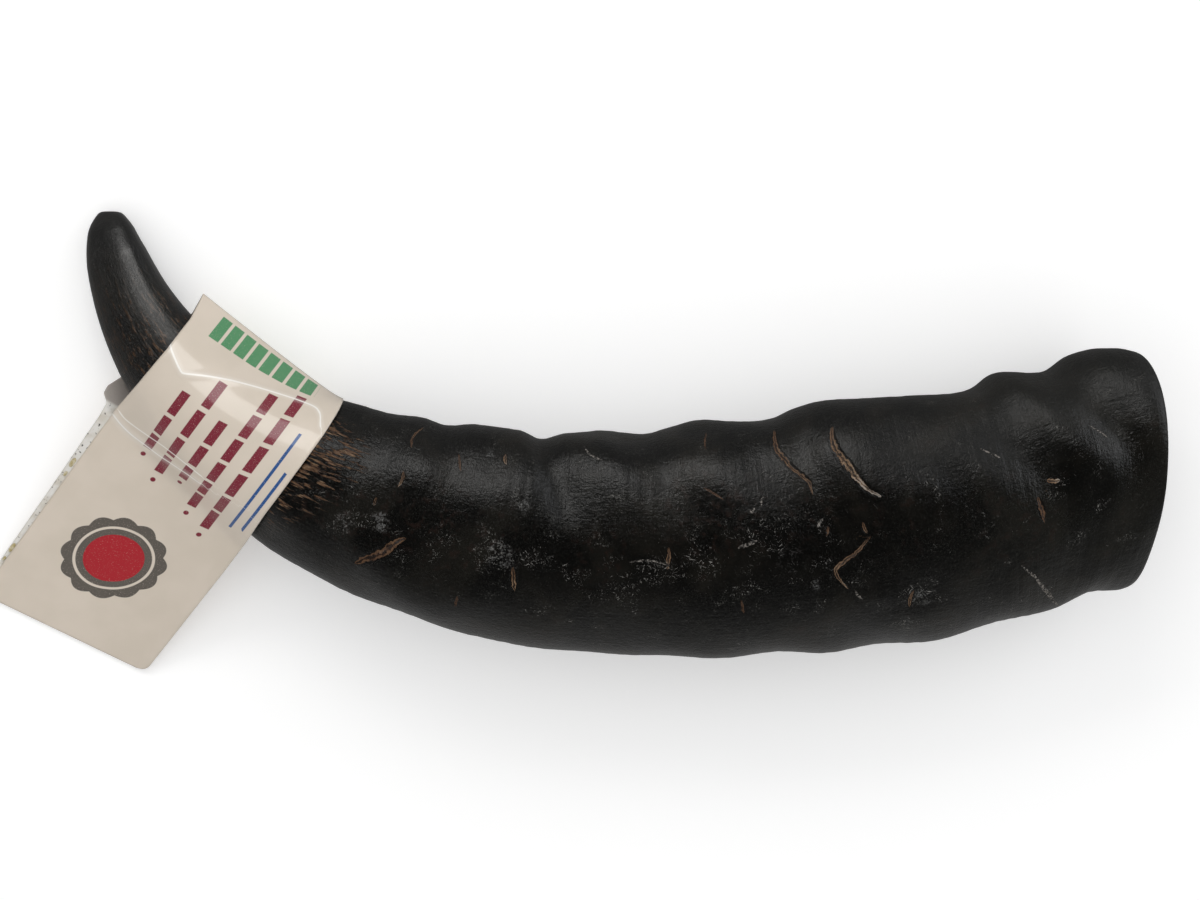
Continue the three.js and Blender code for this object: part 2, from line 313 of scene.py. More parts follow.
LIP_REACH = 2.6          # how soon the lip falls back
GROOVE_DEPTH = 0.45
GROOVE_SHIFT = 0.3       # from the middle to the lip's side, in half widths


def distances_to_path(points, path):
    """For each point: signed distance to a path (left is positive), and the share of the path there."""
    start, step = path[:-1], np.diff(path, axis=0)
    length = np.linalg.norm(step, axis=1)
    away = points[:, None, :] - start
    along = np.clip((away * step).sum(-1) / length**2, 0, 1)
    gap = away - along[..., None] * step
    distance = np.linalg.norm(gap, axis=-1)
    nearest = distance.argmin(1)
    rows = np.arange(len(points))
    side = np.sign(step[nearest, 0] * away[rows, nearest, 1] - step[nearest, 1] * away[rows, nearest, 0])
    travelled = np.concatenate([[0], np.cumsum(length)])
    share = (travelled[nearest] + along[rows, nearest] * length[nearest]) / travelled[-1]
    return np.where(side == 0, 1, side) * distance[rows, nearest], share


# %% Measure every point against every crack
def crack_fields(distance, angle):
    """Signed distance to the nearest crack, its half width there, its paleness, and its relief."""
    signed = np.full(distance.shape, CRACK_REACH)
    half = np.zeros(distance.shape)
    pale = np.zeros(distance.shape)
    relief = np.zeros(distance.shape)
    for points, half_width, lip, paleness in SPLITS:
        places = np.array(points, float)
        middle = places.mean(0)
        radius = section_size(middle[0])[0]
        turned = turn_between(angle, math.radians(middle[1]))
        flat = np.stack([distance - middle[0], turned * radius], -1)
        path = np.stack([places[:, 0] - middle[0], np.radians(places[:, 1] - middle[1]) * radius], -1)
        path = smooth_through(path, 0.5, 8)
        low, high = path.min(0) - CRACK_REACH, path.max(0) + CRACK_REACH
        close = np.flatnonzero(((flat > low) & (flat < high)).all(-1))
        gap, share = distances_to_path(flat[close], path)
        swell = np.sqrt(np.sin(np.pi * share).clip(0))
        fade = smooth_step(np.abs(gap), CRACK_REACH, CRACK_REACH / 2)
        close_by = smooth_step(np.abs(gap), PAINT_REACH, PAINT_REACH / 2)
        raised = gap * np.sign(lip)
        lifted = np.where(raised > 0, np.exp(-raised / LIP_REACH), 0) * abs(lip)
        groove = GROOVE_DEPTH * np.exp(-((gap / half_width + GROOVE_SHIFT * np.sign(lip)) ** 2))
        nearer = np.abs(gap) < np.abs(signed[close])
        chosen = close[nearer]
        signed[chosen] = raised[nearer]
        half[chosen] = (half_width * swell * close_by)[nearer]
        pale[chosen] = paleness * (0.3 + 0.7 * share[nearer])
        relief[close] += (lifted - groove * half_width * min(1, 4 * abs(lip))) * swell * fade
    return signed, half, pale, relief


# %% [markdown]
# ## Roll a flat sheet up into the horn
# A grid is one operator call, and its faces near a crack are easily subdivided while it is flat.  Then each
# vertex is sent to its place on the horn, the two long edges meet underneath, and merging doubles closes
# that seam, the tip and the hollow's blind end.

# %% The profile from tip to blind end
AROUND = 144
TIP_ROWS = 14
OUTSIDE_ROWS = 372
RIM_ROWS = 10
SAWN_ROWS = 5
CAVITY_ROWS = 44
SEAM_ANGLE = math.radians(-90)
MOUTH_EASE = 0.6

quarter = np.linspace(0, np.pi / 2, TIP_ROWS + 1)
rim_turn = np.linspace(0, np.pi / 2, RIM_ROWS + 1)[1:]
rim_start = AXIS_LENGTH - RIM_ROUNDING
outside_distance = np.concatenate([
    TIP_ROUNDING * (1 - np.cos(quarter)),
    np.linspace(TIP_ROUNDING, rim_start, OUTSIDE_ROWS + 1)[1:],
    rim_start + RIM_ROUNDING * np.sin(rim_turn),
])
mouth_fraction = 1 - BASE_WALL / section_size(AXIS_LENGTH)[0]
sawn_share = np.linspace(0, 1, SAWN_ROWS + 1)[1:]
cavity_share = np.linspace(1, 0, CAVITY_ROWS + 1)[1:] ** 1.5
cavity_distance = AXIS_LENGTH - CAVITY_DEPTH * (1 - cavity_share) - MOUTH_EASE
cavity_fraction = (1 - BASE_WALL / section_size(cavity_distance)[0]) * np.sqrt(1 - (1 - cavity_share) ** 2)
sawn_fraction = 1 + (mouth_fraction + 0.02 - 1) * sawn_share
profile = np.vstack([
    np.stack([outside_distance, np.ones_like(outside_distance), np.ones_like(outside_distance)], -1),
    np.stack([np.full(SAWN_ROWS, AXIS_LENGTH), sawn_fraction, 1 - sawn_share], -1),
    np.stack([cavity_distance, cavity_fraction, np.zeros_like(cavity_distance)], -1),
])
ROWS = len(profile) - 1
print(f"{ROWS} rows of {AROUND} faces")

# %% Make the flat sheet and refine it near the cracks
CRACK_CUTS = 3
REFINE_REACH = 2.2


def flat_sheet(columns, rows):
    """A grid of columns by rows, whose vertices stand at x = 0..1 and y = 0..rows."""
    sheet = bmesh.new()
    bmesh.ops.create_grid(sheet, x_segments=columns, y_segments=rows, size=0.5)
    bmesh.ops.translate(sheet, verts=sheet.verts, vec=(0.5, 0.5, 0))
    bmesh.ops.scale(sheet, verts=sheet.verts, vec=(1, rows, 1))
    return sheet


def unrolled(places):
    """Distance, angle, fraction and outside share for the flat sheet's x and y."""
    rows = np.arange(len(profile))
    distance, fraction, outside = (np.interp(places[:, 1], rows, profile[:, i]) for i in range(3))
    return distance, SEAM_ANGLE + 2 * np.pi * places[:, 0], fraction, outside


horn_sheet = flat_sheet(AROUND, ROWS)
middles = np.array([face.calc_center_median()[:2] for face in horn_sheet.faces])
middle_distance, middle_angle, _, middle_outside = unrolled(middles)
middle_gap, middle_half, _, _ = crack_fields(middle_distance, middle_angle)
near_crack = (np.abs(middle_gap) < REFINE_REACH) & (middle_half > 0.05) & (middle_outside > 0.99)
horn_sheet.faces.ensure_lookup_table()
chosen_edges = {edge for i in np.flatnonzero(near_crack) for edge in horn_sheet.faces[i].edges}
bmesh.ops.subdivide_edges(horn_sheet, edges=list(chosen_edges), cuts=CRACK_CUTS, use_grid_fill=True)
bmesh.ops.triangulate(horn_sheet, faces=[face for face in horn_sheet.faces if len(face.verts) > 4])
print(f"{near_crack.sum()} faces near cracks refined, {len(horn_sheet.faces)} faces in all")

# %% [markdown]
# ## What the surface remembers
# The finish needs to know more than a vertex's place: how far it is from a crack, whether it lies in a
# scuffed or a fibrous patch, and where it was on the straight horn, so that the grain follows the bend.
# These are stored as vector attributes on the points, which a material reads with an Attribute node.

# %% Scuffed and fibrous patches
SCUFFS = [  # distance, angle, reach in mm, strength
    (161, 98, 5, 1), (157, 93, 4, 0.6), (162, 60, 4, 0.45), (167, 12, 5, 0.5), (118, 91, 4, 0.5),
    (166, 104, 6, 0.5), (244, 112, 2.6, 0.8), (247, 110, 3.5, 0.5), (267, 144, 6, 0.8),
    (272, 126, 4.5, 0.9), (200, 1, 3, 0.4), (226, 86, 8, 0.5), (212, 96, 7, 0.45),
    (238, 99, 9, 0.55), (176, 84, 7, 0.4), (150, 120, 7, 0.35), (190, 118, 8, 0.35),
    (128, 140, 6, 0.4), (296, 150, 6, 0.4), (221, 142, 6, 0.35), (182, 150, 7, 0.35),
    (150, 210, 10, 0.4), (215, 255, 12, 0.5), (262, 290, 9, 0.45), (318, 190, 8, 0.5),
    (70, 250, 6, 0.4), (12, 60, 3, 0.2), (153, 44, 3.4, 0.9), (158, 48, 2.4, 0.8), (166, 74, 2.6, 1.1),
    (174, 78, 2.2, 0.8), (164, 66, 2, 0.8), (128, 97, 3.4, 1.1), (119, 104, 4.5, 0.8), (194, 78, 2.4, 0.7),
]
FIBRES = [  # distance, angle, reach along, reach around in degrees, strength
    (97, 84, 12, 30, 1), (92, 116, 11, 22, 0.8), (103, 52, 8, 16, 0.8), (108, 72, 9, 22, 0.8),
    (44, 80, 12, 9, 0.36), (88, 250, 14, 40, 0.7), (40, 200, 14, 26, 0.5),
]
WORN = [  # distance, angle, reach along, reach around in degrees, how much it is nicked
    (205, 102, 62, 26, 1), (150, 100, 30, 24, 0.8), (262, 120, 40, 24, 0.7), (310, 120, 26, 40, 0.4),
    (120, 100, 20, 40, 0.6), (205, 60, 70, 22, 0.45), (40, 90, 30, 60, 0.3), (200, 250, 90, 50, 0.6),
    (300, 200, 40, 40, 0.4), (330, 60, 12, 60, 0.25),
]
RUDDY = [  # distance, angle, reach along, reach around in degrees, how brown it is
    (140, 88, 14, 20, 0.9), (219, 76, 14, 18, 1), (243, 78, 9, 14, 0.8), (160, 84, 9, 16, 0.6),
    (188, 92, 10, 16, 0.6), (298, 100, 12, 30, 0.5), (115, 96, 14, 30, 0.9), (268, 84, 10, 20, 0.5),
    (180, 280, 40, 40, 0.6), (36, 100, 20, 50, 0.5),
]
# These ovals are painted dark reflections: where hollows near the base and the tip's side reflect the dark
# room, the horn is painted blacker, with no dust or grit; the last column is how strongly.
PAINTED_DARK_OVALS = [  # distance, angle, reach along, reach around in degrees, how black and clean it is
    (313, 82, 6, 20, 1), (307, 70, 4, 12, 0.8), (320, 96, 4, 10, 0.8), (330, 76, 4.5, 18, 1),
    (278, 84, 12, 12, 0.85), (256, 84, 12, 12, 0.9), (215, 97, 58, 15, 0.85), (180, 106, 26, 12, 0.7),
    (38, 112, 26, 22, 1), (140, 104, 16, 14, 0.6),
]


def patches(distance, angle, places):
    """The strength of the strongest of some soft round patches at each point."""
    strength = np.zeros(distance.shape)
    for place, turned, reach, reach_round, size in places:
        gap = (distance - place) / reach
        gap_round = turn_between(angle, math.radians(turned)) / reach_round
        strength = np.maximum(strength, size * np.exp(-(gap**2 + gap_round**2)))
    return strength


def scuff_strength(distance, angle):
    places = [(d, a, reach, reach / section_size(float(d))[0], size) for d, a, reach, size in SCUFFS]
    return patches(distance, angle, places)


def oval_strength(distance, angle, ovals):
    places = [(d, a, reach, math.radians(around), size) for d, a, reach, around, size in ovals]
    return patches(distance, angle, places)


# %% Store a vector for every point of a mesh
def positions_of(mesh):
    places = np.empty(len(mesh.vertices) * 3)
    mesh.vertices.foreach_get("co", places)
    return places.reshape(-1, 3)


def store(mesh, name, *columns):
    values = np.stack([np.broadcast_to(column, len(mesh.vertices)) for column in columns], -1)
    layer = mesh.attributes.new(name, "FLOAT_VECTOR", "POINT")
    layer.data.foreach_set("vector", values.astype(np.float32).ravel())


def finish_mesh(mesh, merge_distance=None, shade_smooth=True):
    """Merges doubled vertices, turns the faces outwards and shades the mesh smooth."""
    shell = bmesh.new()
    shell.from_mesh(mesh)
    if merge_distance:
        bmesh.ops.remove_doubles(shell, verts=shell.verts, dist=merge_distance)
    bmesh.ops.recalc_face_normals(shell, faces=shell.faces)
    open_edges = sum(len(edge.link_faces) != 2 for edge in shell.edges)
    shell.to_mesh(mesh)
    shell.free()
    for face in mesh.polygons:
        face.use_smooth = shade_smooth
    triangles = sum(len(face.vertices) - 2 for face in mesh.polygons)
    print(f"{mesh.name}: {triangles} triangles, {open_edges} open edges")


def add_piece(name, mesh):
    piece = bpy.data.objects.new(name, mesh)
    bpy.context.scene.collection.objects.link(piece)
    return piece


# %% Roll the sheet up
horn_mesh = bpy.data.meshes.new("horn_sheath")
horn_sheet.to_mesh(horn_mesh)
horn_sheet.free()
distance, angle, fraction, outside = unrolled(positions_of(horn_mesh))
crack_gap, crack_half, crack_pale, crack_relief = crack_fields(distance, angle)
relief = unevenness(distance, angle) + crack_relief
horn_places = horn_points(distance, angle, fraction, outside, relief) - ORIGIN
lowest = horn_places[:, 2].min()
horn_mesh.vertices.foreach_set("co", (horn_places * MM).ravel())

half_width, half_depth, _ = section_size(distance)
straight_side = half_width * np.cos(angle) * fraction
straight_lift = half_depth * np.sin(angle) * fraction
store(horn_mesh, "straight", distance, straight_side, straight_lift)
store(horn_mesh, "crack", crack_gap, crack_half * (outside > 0.5), crack_pale)
scuffs = scuff_strength(distance, angle) * outside
fibres = oval_strength(distance, angle, FIBRES) * outside
store(horn_mesh, "patch", scuffs, fibres, 1 - outside)
# The third number of this vector marks where dark reflections are painted.
store(horn_mesh, "wear_and_painted_dark", *(oval_strength(distance, angle, ovals) for ovals in (WORN, RUDDY, PAINTED_DARK_OVALS)))
finish_mesh(horn_mesh, merge_distance=1e-6)
horn = add_piece("horn_sheath", horn_mesh)
print(f"lowest point {lowest:.2f} mm, box {horn_places.min(0).round(1)} {horn_places.max(0).round(1)}")

# %% [markdown]
# ## The label's fold
# The label is one strip, folded over the inside of the bend.  Each half runs over the horn until the halves
# meet and lie together as a flag.  Pulled tight, such a strip takes the convex outline of what it wraps, so
# each section of it is half of a convex hull.  Cloth could be simulated here, but stiff laminate neither
# stretches nor drapes, and the hull is exact.

# %% Driving dimensions of the label
LABEL_P = np.array([0.8, -0.6, 0.0])      # across the label, away from the tip
LABEL_Q = np.array([-0.6, -0.8, 0.0])     # from the fold towards the free end
LABEL_LEFT = -119.4
LABEL_RIGHT = -67.4
LABEL_WIDTH = LABEL_RIGHT - LABEL_LEFT
LABEL_LEAN = 0.13
LABEL_LAYER = 0.3
LABEL_OUTSIDE = 0.9                       # from the horn to the label's outer face
FLAG_HALF = 0.45                          # from the glue line to the flag's outer face
FOLD = np.array([[31.7, 15], [32.5, 21]])       # Q and height at the left and the right edge
MEETING = np.array([[75.9, 14.5], [82.6, 24]])
FREE_END = np.array([[141.7, 0.3], [131.3, 0.3]])
FLAG_SAG = 1.2
OUTLINE_SAMPLES = 120
HALVINGS = 24
STATIONS = 40                             # sections computed across the label
LOOP_STEPS = 80
FLAG_STEPS = 100


# %% The horn's outline in the label's leaning planes
def horn_outlines(across):
    """Outline points as Q and height, one row of them for each P, found by halving the interval."""
    turned = np.linspace(0, 2 * np.pi, OUTLINE_SAMPLES, endpoint=False)[None, :] + np.zeros((len(across), 1))
    low = np.zeros(turned.shape)
    high = np.full(turned.shape, AXIS_LENGTH / 2)
    for _ in range(HALVINGS):
        middle = (low + high) / 2
        point = horn_points(middle, turned)
        before = point @ LABEL_P - LABEL_LEAN * point[..., 2] < across[:, None]
        low = np.where(before, middle, low)
        high = np.where(before, high, middle)
    point = horn_points(low, turned)
    return np.stack([point @ LABEL_Q, point[..., 2]], -1)


def hull_chain(points, side):
    """The upper (side 1) or lower (side -1) half of a convex outline, from low Q to high Q."""
    chain = []
    for point in sorted(points.tolist()):
        while len(chain) > 1:
            (x0, y0), (x1, y1) = chain[-2:]
            turn = (x1 - x0) * (point[1] - y0) - (y1 - y0) * (point[0] - x0)
            if turn * side < 0:
                break
            chain.pop()
        chain.append(point)
    return np.array(chain)


def even_steps(chain, steps):
    travelled = np.concatenate([[0], np.cumsum(np.linalg.norm(np.diff(chain, axis=0), axis=1))])
    places = np.linspace(0, travelled[-1], steps + 1)
    return np.stack([np.interp(places, travelled, chain[:, i]) for i in range(2)], -1)


# %% One half of the label, section by section
def half_label(side):
    """Points of one half's outer face, indexed by station, then by step from the fold to the free end."""
    share = np.linspace(0, 1, STATIONS + 1)
    across = LABEL_LEFT + LABEL_WIDTH * share
    sections = []
    for right, outline in zip(share, horn_outlines(across)):
        fold, meeting, end = ((1 - right) * ends[0] + right * ends[1] for ends in (FOLD, MEETING, FREE_END))
        outward = outline - outline.mean(0)
        outward /= np.linalg.norm(outward, axis=1)[:, None]
        fold_tip = fold - [FLAG_HALF, 0]
        meeting_tip = meeting + [0, side * FLAG_HALF]
        around = np.vstack([outline + outward * LABEL_OUTSIDE, fold_tip, meeting_tip])
        loop = even_steps(hull_chain(around, side), LOOP_STEPS)
        way = np.linspace(0, 1, FLAG_STEPS + 1)[1:, None]
        flag = meeting_tip + (end - meeting) * way
        flag[:, 1] -= FLAG_SAG * np.sin(np.pi * way[:, 0])
        sections.append(np.vstack([loop, flag]))
    section = np.array(sections)
    place = (across[:, None] + LABEL_LEAN * section[..., 1])[..., None] * LABEL_P
    place = place + section[..., :1] * LABEL_Q
    place[..., 2] = section[..., 1]
    return place


upper_half = half_label(1)
lower_half = half_label(-1)
strip = np.concatenate([lower_half[:, :0:-1], upper_half], axis=1)
step_length = np.linalg.norm(np.diff(upper_half, axis=1), axis=-1)
run = np.concatenate([np.zeros((STATIONS + 1, 1)), np.cumsum(step_length, axis=1)], axis=1)
print(f"each half is {run[0, -1]:.1f} mm long at its left edge and {run[-1, -1]:.1f} mm at its right edge")

# %% [markdown]
# ## Ease the bends and shape the sheet
# Laminated paper bends over a small radius and never to a knife edge, so the strip's points are averaged
# with their neighbours.  The back half is also stuck on a little askew: it stands out past the front's left
# edge and shows a band of adhesive there.  The free corners are cut round.

# %% Average neighbours
BEND_RADIUS_STEPS = 2.2
ACROSS_STEPS = 1.5


def eased(values, spread, line):
    """A Gaussian average along one line of an array; the ends keep their place and direction."""
    reach = int(math.ceil(3 * spread))
    weights = np.exp(-0.5 * (np.arange(-reach, reach + 1) / spread) ** 2)
    weights /= weights.sum()
    moved = np.moveaxis(values, line, 0)
    before = 2 * moved[:1] - moved[reach:0:-1]
    after = 2 * moved[-1:] - moved[-2:-reach - 2:-1]
    padded = np.concatenate([before, moved, after])
    total = sum(weight * padded[i:i + len(moved)] for i, weight in enumerate(weights))
    return np.moveaxis(total, 0, line)


strip = eased(eased(strip, BEND_RADIUS_STEPS, 1), ACROSS_STEPS, 0)
HALF_STEPS = LOOP_STEPS + FLAG_STEPS

# %% Look up a point of the strip
CORNER_RADIUS = 2.6
LEFT_EDGE = ((0, 0.2), (10, 1.9), (22, 2.1), (34, 1.4), (48, 0.2), (60, 0.0))      # run from the fold, inset
RIGHT_EDGE = ((0, 2.1), (10, 1.5), (22, 0.9), (50, 0.6), (66, -0.2), (80, -0.4), (110, -0.2), (125, 0.0))
BACK_OFFSET = (             # run from the fold, how far the back stands out
    (0, 0.0), (24, 2.8), (38, 5.2), (45, 6.6), (47.5, 6.0), (49.5, 3.4), (54, 2.6), (75, 1.9), (118, 0.9),
)
back_run, back_out = zip(*BACK_OFFSET)


def looked_up(table, column, row):
    """Values of a table between its columns and rows."""
    left = np.clip(np.floor(column).astype(int), 0, table.shape[0] - 2)
    first = np.clip(np.floor(row).astype(int), 0, table.shape[1] - 2)
    a = (column - left)[:, None]
    b = (row - first)[:, None]
    near = table[left, first] * (1 - a) + table[left + 1, first] * a
    far = table[left, first + 1] * (1 - a) + table[left + 1, first + 1] * a
    return near * (1 - b) + far * b


def label_flat(share, way):
    """Flat millimetres, across from the left edge and along from the fold, negative on the back."""
    steps = np.abs(way) * HALF_STEPS
    along = looked_up(run[..., None], share * STATIONS, steps)[:, 0]
    full = looked_up(run[..., None], share * STATIONS, np.full_like(steps, HALF_STEPS))[:, 0]
    into_corner = np.clip(CORNER_RADIUS - (full - along), 0, CORNER_RADIUS)
    inset = CORNER_RADIUS - np.sqrt(CORNER_RADIUS**2 - into_corner**2)
    left = np.interp(along, *zip(*LEFT_EDGE)) + inset
    right = LABEL_WIDTH - np.interp(along, *zip(*RIGHT_EDGE)) - inset
    across = left + (right - left) * share
    return across, along * np.sign(way)


# %% [markdown]
# ## Creases
# Two kinds of bend show in the lamination: a fine crease over the horn's crest, and a double fold where
# the strip was pinched as it leaves the horn.  Each is a path on the flat strip; a low ridge in the mesh
# carries it, and its distance is stored for the finish, which paints a white highlight along each line.

# %% The creases on the flat strip
CREST_CREASE = [
    [1.2, 19.4], [2.6, 21.0], [5.4, 23.0], [8.2, 24.8], [9.8, 25.5], [10.6, 25.2], [13, 24.0], [18.2, 21.4],
    [23.4, 19.2], [29.9, 17.3], [36.4, 15.9], [40.6, 15.5], [45, 15.9], [47.2, 17.6], [49.2, 19.9],
]
VALLEY_CREASE = [
    [0.4, 50.8], [3.9, 52.6], [7.8, 54.0], [11.7, 54.6], [18.2, 54.9], [22.1, 54.3], [27.3, 53.7], [32, 53.7],
]
VALLEY_INNER = [
    [1.3, 48.5], [3.9, 49.8], [7.8, 50.3], [13, 50.2], [18.2, 49.5], [23.4, 49.3], [27.3, 49.7], [31, 50.2],
]
CREASE_HEIGHT = 0.3
CREASE_WIDTH = 0.9
PINCH_SHIFT = 0.9          # the pinch stands beside its line, in crease widths
FAR_FROM_CREASE = 9.0


def crease_gap(across, along, path):
    """Signed distance to a crease, and the share of the crease there."""
    smooth = smooth_through(path, 0.5, 8)
    gap, share = distances_to_path(np.stack([across, along], -1), smooth)
    return np.clip(gap, -FAR_FROM_CREASE, FAR_FROM_CREASE), share


# %% Make the label's strip
LABEL_COLUMNS = 76
LABEL_ROWS = 344

label_sheet = flat_sheet(LABEL_COLUMNS, LABEL_ROWS)
label_mesh = bpy.data.meshes.new("label_sheet")
label_sheet.to_mesh(label_mesh)
label_sheet.free()
sheet_places = positions_of(label_mesh)
share = sheet_places[:, 0]
way = sheet_places[:, 1] / LABEL_ROWS * 2 - 1
flat_across, flat_along = label_flat(share, way)
label_places = looked_up(strip, flat_across / LABEL_WIDTH * STATIONS, (way + 1) * HALF_STEPS)
crest_gap, crest_share = crease_gap(flat_across, flat_along, CREST_CREASE)
valley_gap, _ = crease_gap(flat_across, flat_along, VALLEY_CREASE)
inner_gap, _ = crease_gap(flat_across, flat_along, VALLEY_INNER)
ridge = CREASE_HEIGHT * np.exp(-((crest_gap / CREASE_WIDTH) ** 2))
ridge *= np.sin(np.pi * crest_share).clip(0) ** 0.5
pinch = CREASE_HEIGHT * np.exp(-((valley_gap / CREASE_WIDTH + PINCH_SHIFT) ** 2))
label_places[:, 2] += np.where(flat_along > 0, ridge + pinch, 0)
behind = np.where(flat_along < 0, np.interp(-flat_along, back_run, back_out), 0)
label_places -= behind[:, None] * LABEL_P
label_mesh.vertices.foreach_set("co", ((label_places - ORIGIN) * MM).ravel())
store(label_mesh, "flat", flat_across, flat_along, 0.0)
store(label_mesh, "crease", crest_gap, valley_gap, inner_gap)
print(f"label box {(label_places - ORIGIN).min(0).round(1)} {(label_places - ORIGIN).max(0).round(1)}")

# %% [markdown]
# ## Give the strip its thickness
# A Solidify modifier thickens a sheet to one side and can give the new inner face and the cut edge their
# own material slots, so the print, the adhesive and the paper edge are three finishes on one mesh.  The
# sheet's faces have to point outwards first: the front half's faces point up.

# %% Thicken it and keep the result
def upward_share(mesh, columns):
    """How far the faces in the last rows of the mesh point up, from -1 to 1."""
    faces = [mesh.polygons[i] for i in range(len(mesh.polygons) - columns, len(mesh.polygons))]
    return sum(face.normal.z for face in faces) / len(faces)


if upward_share(label_mesh, LABEL_COLUMNS) < 0:
    label_mesh.flip_normals()
label = add_piece("label_strip", label_mesh)
layer = label.modifiers.new("layer", "SOLIDIFY")
layer.thickness = LABEL_LAYER * MM
layer.offset = -1
layer.use_even_offset = True
LABEL_SLOTS = ("label_printed", "label_adhesive", "label_edge")
layer.material_offset = LABEL_SLOTS.index("label_adhesive")
layer.material_offset_rim = LABEL_SLOTS.index("label_edge")
for slot_name in LABEL_SLOTS:
    label_mesh.materials.append(bpy.data.materials.new(slot_name))
shown = label.evaluated_get(bpy.context.evaluated_depsgraph_get())
thick_mesh = bpy.data.meshes.new_from_object(shown)
label.modifiers.clear()
label.data = thick_mesh
thick_mesh.name = "label_strip"
finish_mesh(thick_mesh)

# %% [markdown]
# ## Spare glue
# Beads of yellowed glue have squeezed out between the halves at the left edge.  A squashed sphere, pushed
# about a little, is enough for each.

# %% The glue beads
GLUE_BEADS = [  # across, run from the fold, length, width, height in mm
    (-1.0, 70.5, 3.4, 1.3, 0.45), (-0.8, 74.5, 1.4, 0.9, 0.35),
    (-0.6, 102.5, 3.4, 1.2, 0.45), (-0.6, 106.5, 1.2, 0.8, 0.3),
]
LUMP_HEIGHT = 0.08
LUMP_PITCHES = (2600, 3100, 900)      # waves per metre times two pi

glue = bmesh.new()
for across, along, length, width, height in GLUE_BEADS:
    step = HALF_STEPS + np.interp(along, run[0], np.arange(HALF_STEPS + 1))
    here, ahead = looked_up(strip, np.zeros(2), np.array([step, step + 1]))
    place = here + across * LABEL_P - ORIGIN - [0, 0, LABEL_LAYER]
    turn = Vector((ahead - here).tolist()).to_track_quat("X", "Z").to_matrix()
    bead = bmesh.ops.create_icosphere(glue, subdivisions=3, radius=0.5)["verts"]
    bmesh.ops.scale(glue, verts=bead, vec=(length * MM, width * MM, height * MM))
    bmesh.ops.rotate(glue, verts=bead, cent=(0, 0, 0), matrix=turn)
    bmesh.ops.translate(glue, verts=bead, vec=(place * MM).tolist())
for vert in glue.verts:
    wave_x, wave_y, skew = LUMP_PITCHES
    lumps = math.sin(vert.co.x * wave_x) + math.sin(vert.co.y * wave_y + vert.co.x * skew)
    push = LUMP_HEIGHT * MM * lumps
    vert.co += Vector((push, push, 0))
glue_mesh = bpy.data.meshes.new("glue_beads")
glue.to_mesh(glue_mesh)
glue.free()
finish_mesh(glue_mesh)
glue_beads = add_piece("glue_beads", glue_mesh)

# %% [markdown]
# ## A short way to write shader maths
# A node tree is easier to read as arithmetic.  Value wraps one number socket and turns +, -, * and / into
# Math nodes.  Nodes makes every node through one method, which takes the node's type, its settings and the
# values or links of its sockets.  Finish adds what materials need.

# %% Sockets as numbers
def find_socket(sockets, key):
    """A socket by its identifier, or else by its name or place."""
    for socket in sockets:
        if socket.identifier == key:
            return socket
    return sockets[key]


def maths_node(operation, swapped=False):
    """An operator that adds one Math node."""

    def operator(self, *others):
        values = (*others, self) if swapped else (self, *others)
        return self.nodes.node("ShaderNodeMath", {"operation": operation}, dict(enumerate(values)))

    return operator


class Value:
    """A number that changes over the surface."""

    def __init__(self, nodes, socket):
        self.nodes = nodes
        self.socket = socket

    __add__ = maths_node("ADD")
    __radd__ = maths_node("ADD", swapped=True)
    __sub__ = maths_node("SUBTRACT")
    __rsub__ = maths_node("SUBTRACT", swapped=True)
    __mul__ = maths_node("MULTIPLY")
    __truediv__ = maths_node("DIVIDE")
    __pow__ = maths_node("POWER")
    __abs__ = maths_node("ABSOLUTE")
    larger = maths_node("MAXIMUM")
    smaller = maths_node("MINIMUM")
    fraction = maths_node("FRACT")
    sine = maths_node("SINE")
    bearing = maths_node("ARCTAN2")

    def rises(self, low, high):
        """0 below low and 1 above high, with a soft step between; high below low makes it fall."""
        settings = {"interpolation_type": "SMOOTHSTEP", "clamp": True}
        ends = {"Value": self, "From Min": low, "From Max": high}
        return self.nodes.node("ShaderNodeMapRange", settings, ends, "Result")


def largest(values):
    return reduce(Value.larger, values)


# %% One method for every node
class Nodes:
    """The cleared node tree of a material or a world."""

    def __init__(self, owner):
        self.owner = owner
        owner.use_nodes = True
        self.tree = owner.node_tree
        self.tree.nodes.clear()

    def node(self, kind, settings=None, values=None, output=0):
        made = self.tree.nodes.new(kind)
        for name, value in (settings or {}).items():
            setattr(made, name, value)
        for key, value in (values or {}).items():
            target = find_socket(made.inputs, key)
            source = value.socket if isinstance(value, Value) else value
            if isinstance(source, bpy.types.NodeSocket):
                self.tree.links.new(source, target)
            else:
                target.default_value = source
        if len(made.outputs) == 0:
            return None
        given = find_socket(made.outputs, output)
        return Value(self, given) if given.type == "VALUE" else given

    def split(self, vector):
        return [self.node("ShaderNodeSeparateXYZ", values={0: vector}, output=i) for i in range(3)]


